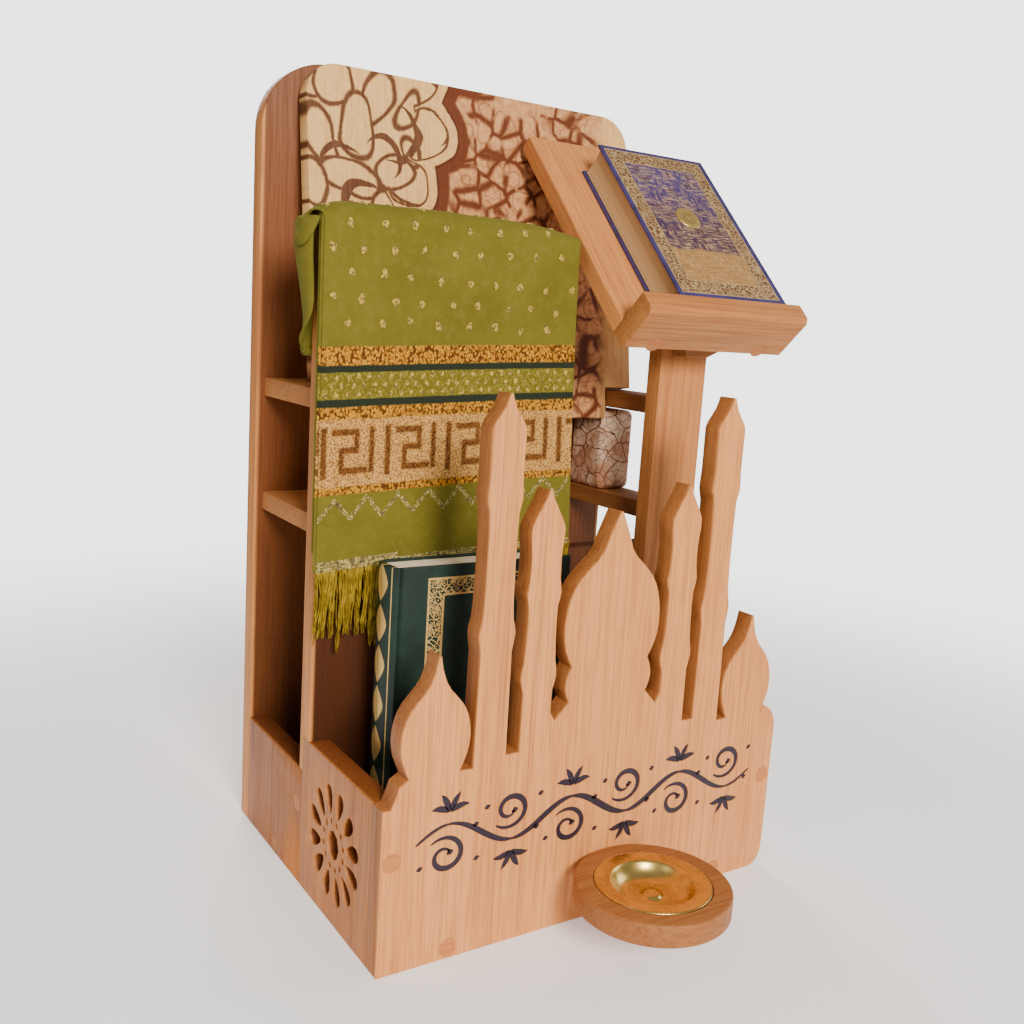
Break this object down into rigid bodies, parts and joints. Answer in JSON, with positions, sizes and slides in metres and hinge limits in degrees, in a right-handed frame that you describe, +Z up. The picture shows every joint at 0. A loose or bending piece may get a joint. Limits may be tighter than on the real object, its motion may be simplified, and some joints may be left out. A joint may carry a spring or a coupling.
{
  "type": "quran stand",
  "caption": "Wooden prayer stand: domed front panel, divider with a draped prayer rug, sloping reading desk on a post, shelves, and a small round shelf for a brass dish.",
  "frame": {"origin": "middle of the underside of the body, on the surface that it stands on", "axes": "+Z up, front panel faces -Y, reading desk on the +X side"},
  "size_m": [0.431, 0.4263, 0.692],
  "materials": {
    "beech": "oiled beech, fine straight grain, eased edges",
    "plug_wood": "darker side-grain wood plug, sanded flush",
    "steel": "zinc-plated wood screw",
    "brass": "spun and polished brass",
    "rug_wool": "olive woven prayer rug with gold thread borders",
    "green_leather": "dark green book cloth with gold tooling",
    "blue_cover": "indigo book cover with gold border",
    "paper": "book page edges",
    "pattern_wood": "pale wood with brown scroll ornament"
  },
  "bodies": {
    "stand": {"back_board": "beech", "base_board": "beech", "corner_block_left": "beech", "corner_block_right": "beech", "desk_board": "beech", "desk_cleat": "beech", "desk_lip": "beech", "dish_holder": "beech", "divider_board": "beech", "front_panel": "beech", "plug_front_left_lower": "plug_wood", "plug_front_left_upper": "plug_wood", "plug_front_right_lower": "plug_wood", "plug_front_right_upper": "plug_wood", "plug_left_1": "plug_wood", "plug_left_2": "plug_wood", "plug_left_3": "plug_wood", "plug_left_4": "plug_wood", "plug_lip_1": "plug_wood", "plug_lip_2": "plug_wood", "plug_right_1": "plug_wood", "plug_right_2": "plug_wood", "plug_right_3": "plug_wood", "plug_right_4": "plug_wood", "post": "beech", "prayer_rug": "rug_wool", "screw_cleat_1": "steel", "screw_dish_holder": "steel", "screw_front_left_lower": "steel", "screw_front_left_upper": "steel", "screw_front_right_lower": "steel", "screw_front_right_upper": "steel", "screw_left_1": "steel", "screw_left_2": "steel", "screw_left_3": "steel", "screw_left_4": "steel", "screw_lip_1": "steel", "screw_lip_2": "steel", "screw_post_1": "steel", "screw_post_2": "steel", "screw_right_1": "steel", "screw_right_2": "steel", "screw_right_3": "steel", "screw_right_4": "steel", "shelf_left_lower": "beech", "shelf_left_upper": "beech", "shelf_right_lower": "beech", "shelf_right_upper": "beech", "side_front_left": "beech", "side_front_right": "beech", "side_rear_left": "beech", "side_rear_right": "beech"},
    "dish": {"brass_dish": "brass"},
    "quran": {"quran_case": "blue_cover", "quran_pages": "paper"},
    "quran_cover": {"quran_front_cover": "blue_cover"},
    "tall_book": {"tall_book_cover": "green_leather", "tall_book_pages": "paper"},
    "patterned_panel": {"patterned_board": "pattern_wood"},
    "keepsake": {"keepsake_box": "pattern_wood"}
  },
  "joints": [
    {"name": "dish_lift", "type": "slide", "parent": "stand", "child": "dish", "axis": [0, 0, 1], "range_m": [0, 0.06]},
    {"name": "quran_lift", "type": "slide", "parent": "stand", "child": "quran", "axis": [0, 0, 1], "range_m": [0, 0.12]},
    {"name": "quran_cover_hinge", "type": "hinge", "parent": "quran", "child": "quran_cover", "pos_m": [0.21315, -0.02994, 0.58027], "axis": [0, 0.7009, 0.7133], "range_deg": [0, 170]},
    {"name": "tall_book_lift", "type": "slide", "parent": "stand", "child": "tall_book", "axis": [0, 0, 1], "range_m": [0, 0.25]},
    {"name": "panel_lift", "type": "slide", "parent": "stand", "child": "patterned_panel", "axis": [0, 0, 1], "range_m": [0, 0.035]},
    {"name": "keepsake_slide", "type": "slide", "parent": "stand", "child": "keepsake", "axis": [1, 0, 0], "range_m": [0, 0.12]}
  ]
}
